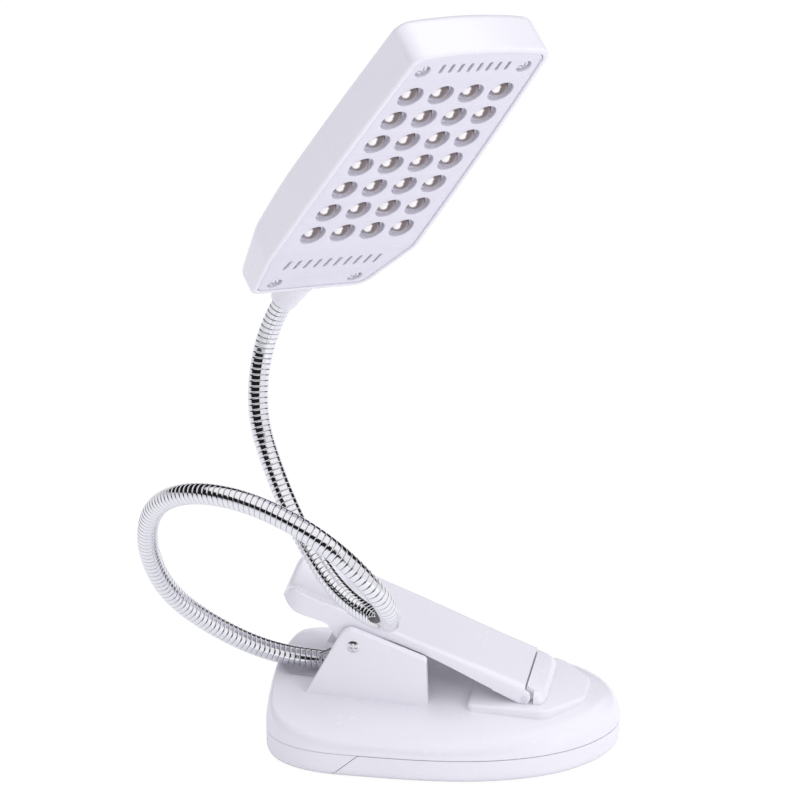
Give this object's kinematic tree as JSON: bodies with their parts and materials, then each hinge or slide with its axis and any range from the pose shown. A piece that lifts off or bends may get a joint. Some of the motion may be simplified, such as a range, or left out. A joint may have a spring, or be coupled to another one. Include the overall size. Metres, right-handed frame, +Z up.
{
  "type": "clip-on reading lamp",
  "caption": "Clip-on reading lamp: a flat LED head on a flexible chrome arm, over a battery base with a spring-loaded clip.",
  "frame": {"origin": "middle of the base's flat underside", "axes": "+Z up, +X along the base towards the jaw tip, +Y towards the side with the push button"},
  "size_m": [0.132, 0.1001, 0.2277],
  "materials": {
    "white_shell": "glossy",
    "panel_white": "satin",
    "chrome_hose": "polished",
    "screw_steel": "plated",
    "spring_steel": "plain",
    "clear_led": "clear",
    "board_green": "soldered board",
    "lead_sleeve": "matt",
    "cell_wrap": "plain wrap",
    "contact_metal": "plated",
    "black_plastic": "matt",
    "jaw_pad_white": "satin"
  },
  "bodies": {
    "base": {"base_upper_shell": "white_shell", "base_rear_cover": "white_shell", "battery_tray": "black_plastic", "batteries": "cell_wrap", "contact_springs": "spring_steel", "contact_plates": "contact_metal", "switch_board": "board_green", "switch_body": "black_plastic", "case_screws": "screw_steel", "hose_ferrule": "screw_steel", "base_lead": "lead_sleeve", "pivot_pin": "screw_steel", "torsion_spring": "spring_steel", "lower_jaw_pad": "jaw_pad_white", "arm_hose_root": "chrome_hose", "arm_lead_root": "lead_sleeve"},
    "battery_door": {"battery_door": "white_shell"},
    "switch_button": {"switch_button": "white_shell"},
    "clip_lever": {"clip_lever": "white_shell", "jaw_pin": "screw_steel"},
    "jaw_foot": {"jaw_foot": "white_shell"},
    "arm_1": {"arm_hose_1": "chrome_hose", "arm_lead_1": "lead_sleeve"},
    "arm_2": {"arm_hose_2": "chrome_hose", "arm_lead_2": "lead_sleeve"},
    "arm_3": {"arm_hose_3": "chrome_hose", "arm_lead_3": "lead_sleeve"},
    "arm_4": {"arm_hose_4": "chrome_hose", "arm_lead_4": "lead_sleeve"},
    "head": {"arm_hose_tip": "chrome_hose", "arm_lead_tip": "lead_sleeve", "head_collar": "white_shell", "head_back_shell": "white_shell", "head_front_panel": "panel_white", "panel_screws": "screw_steel", "leds": "clear_led", "led_board": "board_green", "board_resistors": "black_plastic", "head_lead": "lead_sleeve"}
  },
  "joints": [
    {"name": "arm_root_bend", "type": "hinge", "parent": "base", "child": "arm_1", "pos_m": [-0.058, -0.008, 0.028], "axis": [0.4472, -0.8944, 0], "range_deg": [-15, 15]},
    {"name": "arm_side_bend", "type": "hinge", "parent": "arm_1", "child": "arm_2", "pos_m": [-0.0775, -0.035, 0.077], "axis": [0.2962, 0.8675, 0.3997], "range_deg": [-15, 15]},
    {"name": "arm_top_bend", "type": "hinge", "parent": "arm_2", "child": "arm_3", "pos_m": [-0.032, -0.062, 0.0955], "axis": [0.3844, 0.8433, 0.3756], "range_deg": [-15, 15]},
    {"name": "arm_front_bend", "type": "hinge", "parent": "arm_3", "child": "arm_4", "pos_m": [-0.0305, -0.0235, 0.0605], "axis": [0.7323, 0.6762, 0.081], "range_deg": [-15, 15]},
    {"name": "head_bend", "type": "hinge", "parent": "arm_4", "child": "head", "pos_m": [-0.055, 0.009, 0.107], "axis": [0.6733, 0.6482, -0.3558], "range_deg": [-15, 15]},
    {"name": "lever_pivot", "type": "hinge", "parent": "base", "child": "clip_lever", "pos_m": [-0.024, 0, 0.0333], "axis": [0, -1, 0], "range_deg": [0, 24], "stiffness_Nm_per_rad": 0.25, "springref_deg": -28.65, "deforming": ["torsion_spring"]},
    {"name": "jaw_foot_rock", "type": "hinge", "parent": "clip_lever", "child": "jaw_foot", "pos_m": [0.0243, 0, 0.0196], "axis": [0, 1, 0], "range_deg": [0, 8]},
    {"name": "switch_press", "type": "slide", "parent": "base", "child": "switch_button", "axis": [0, 0, -1], "range_m": [0, 0.0012], "stiffness_N_per_m": 900, "springref_m": -0.0008},
    {"name": "door_slide", "type": "slide", "parent": "base", "child": "battery_door", "axis": [1, 0, 0], "range_m": [0, 0.012]}
  ],
  "couplings": [
    {"joint": "jaw_foot_rock", "follows": "lever_pivot", "ratio": 0.3}
  ]
}
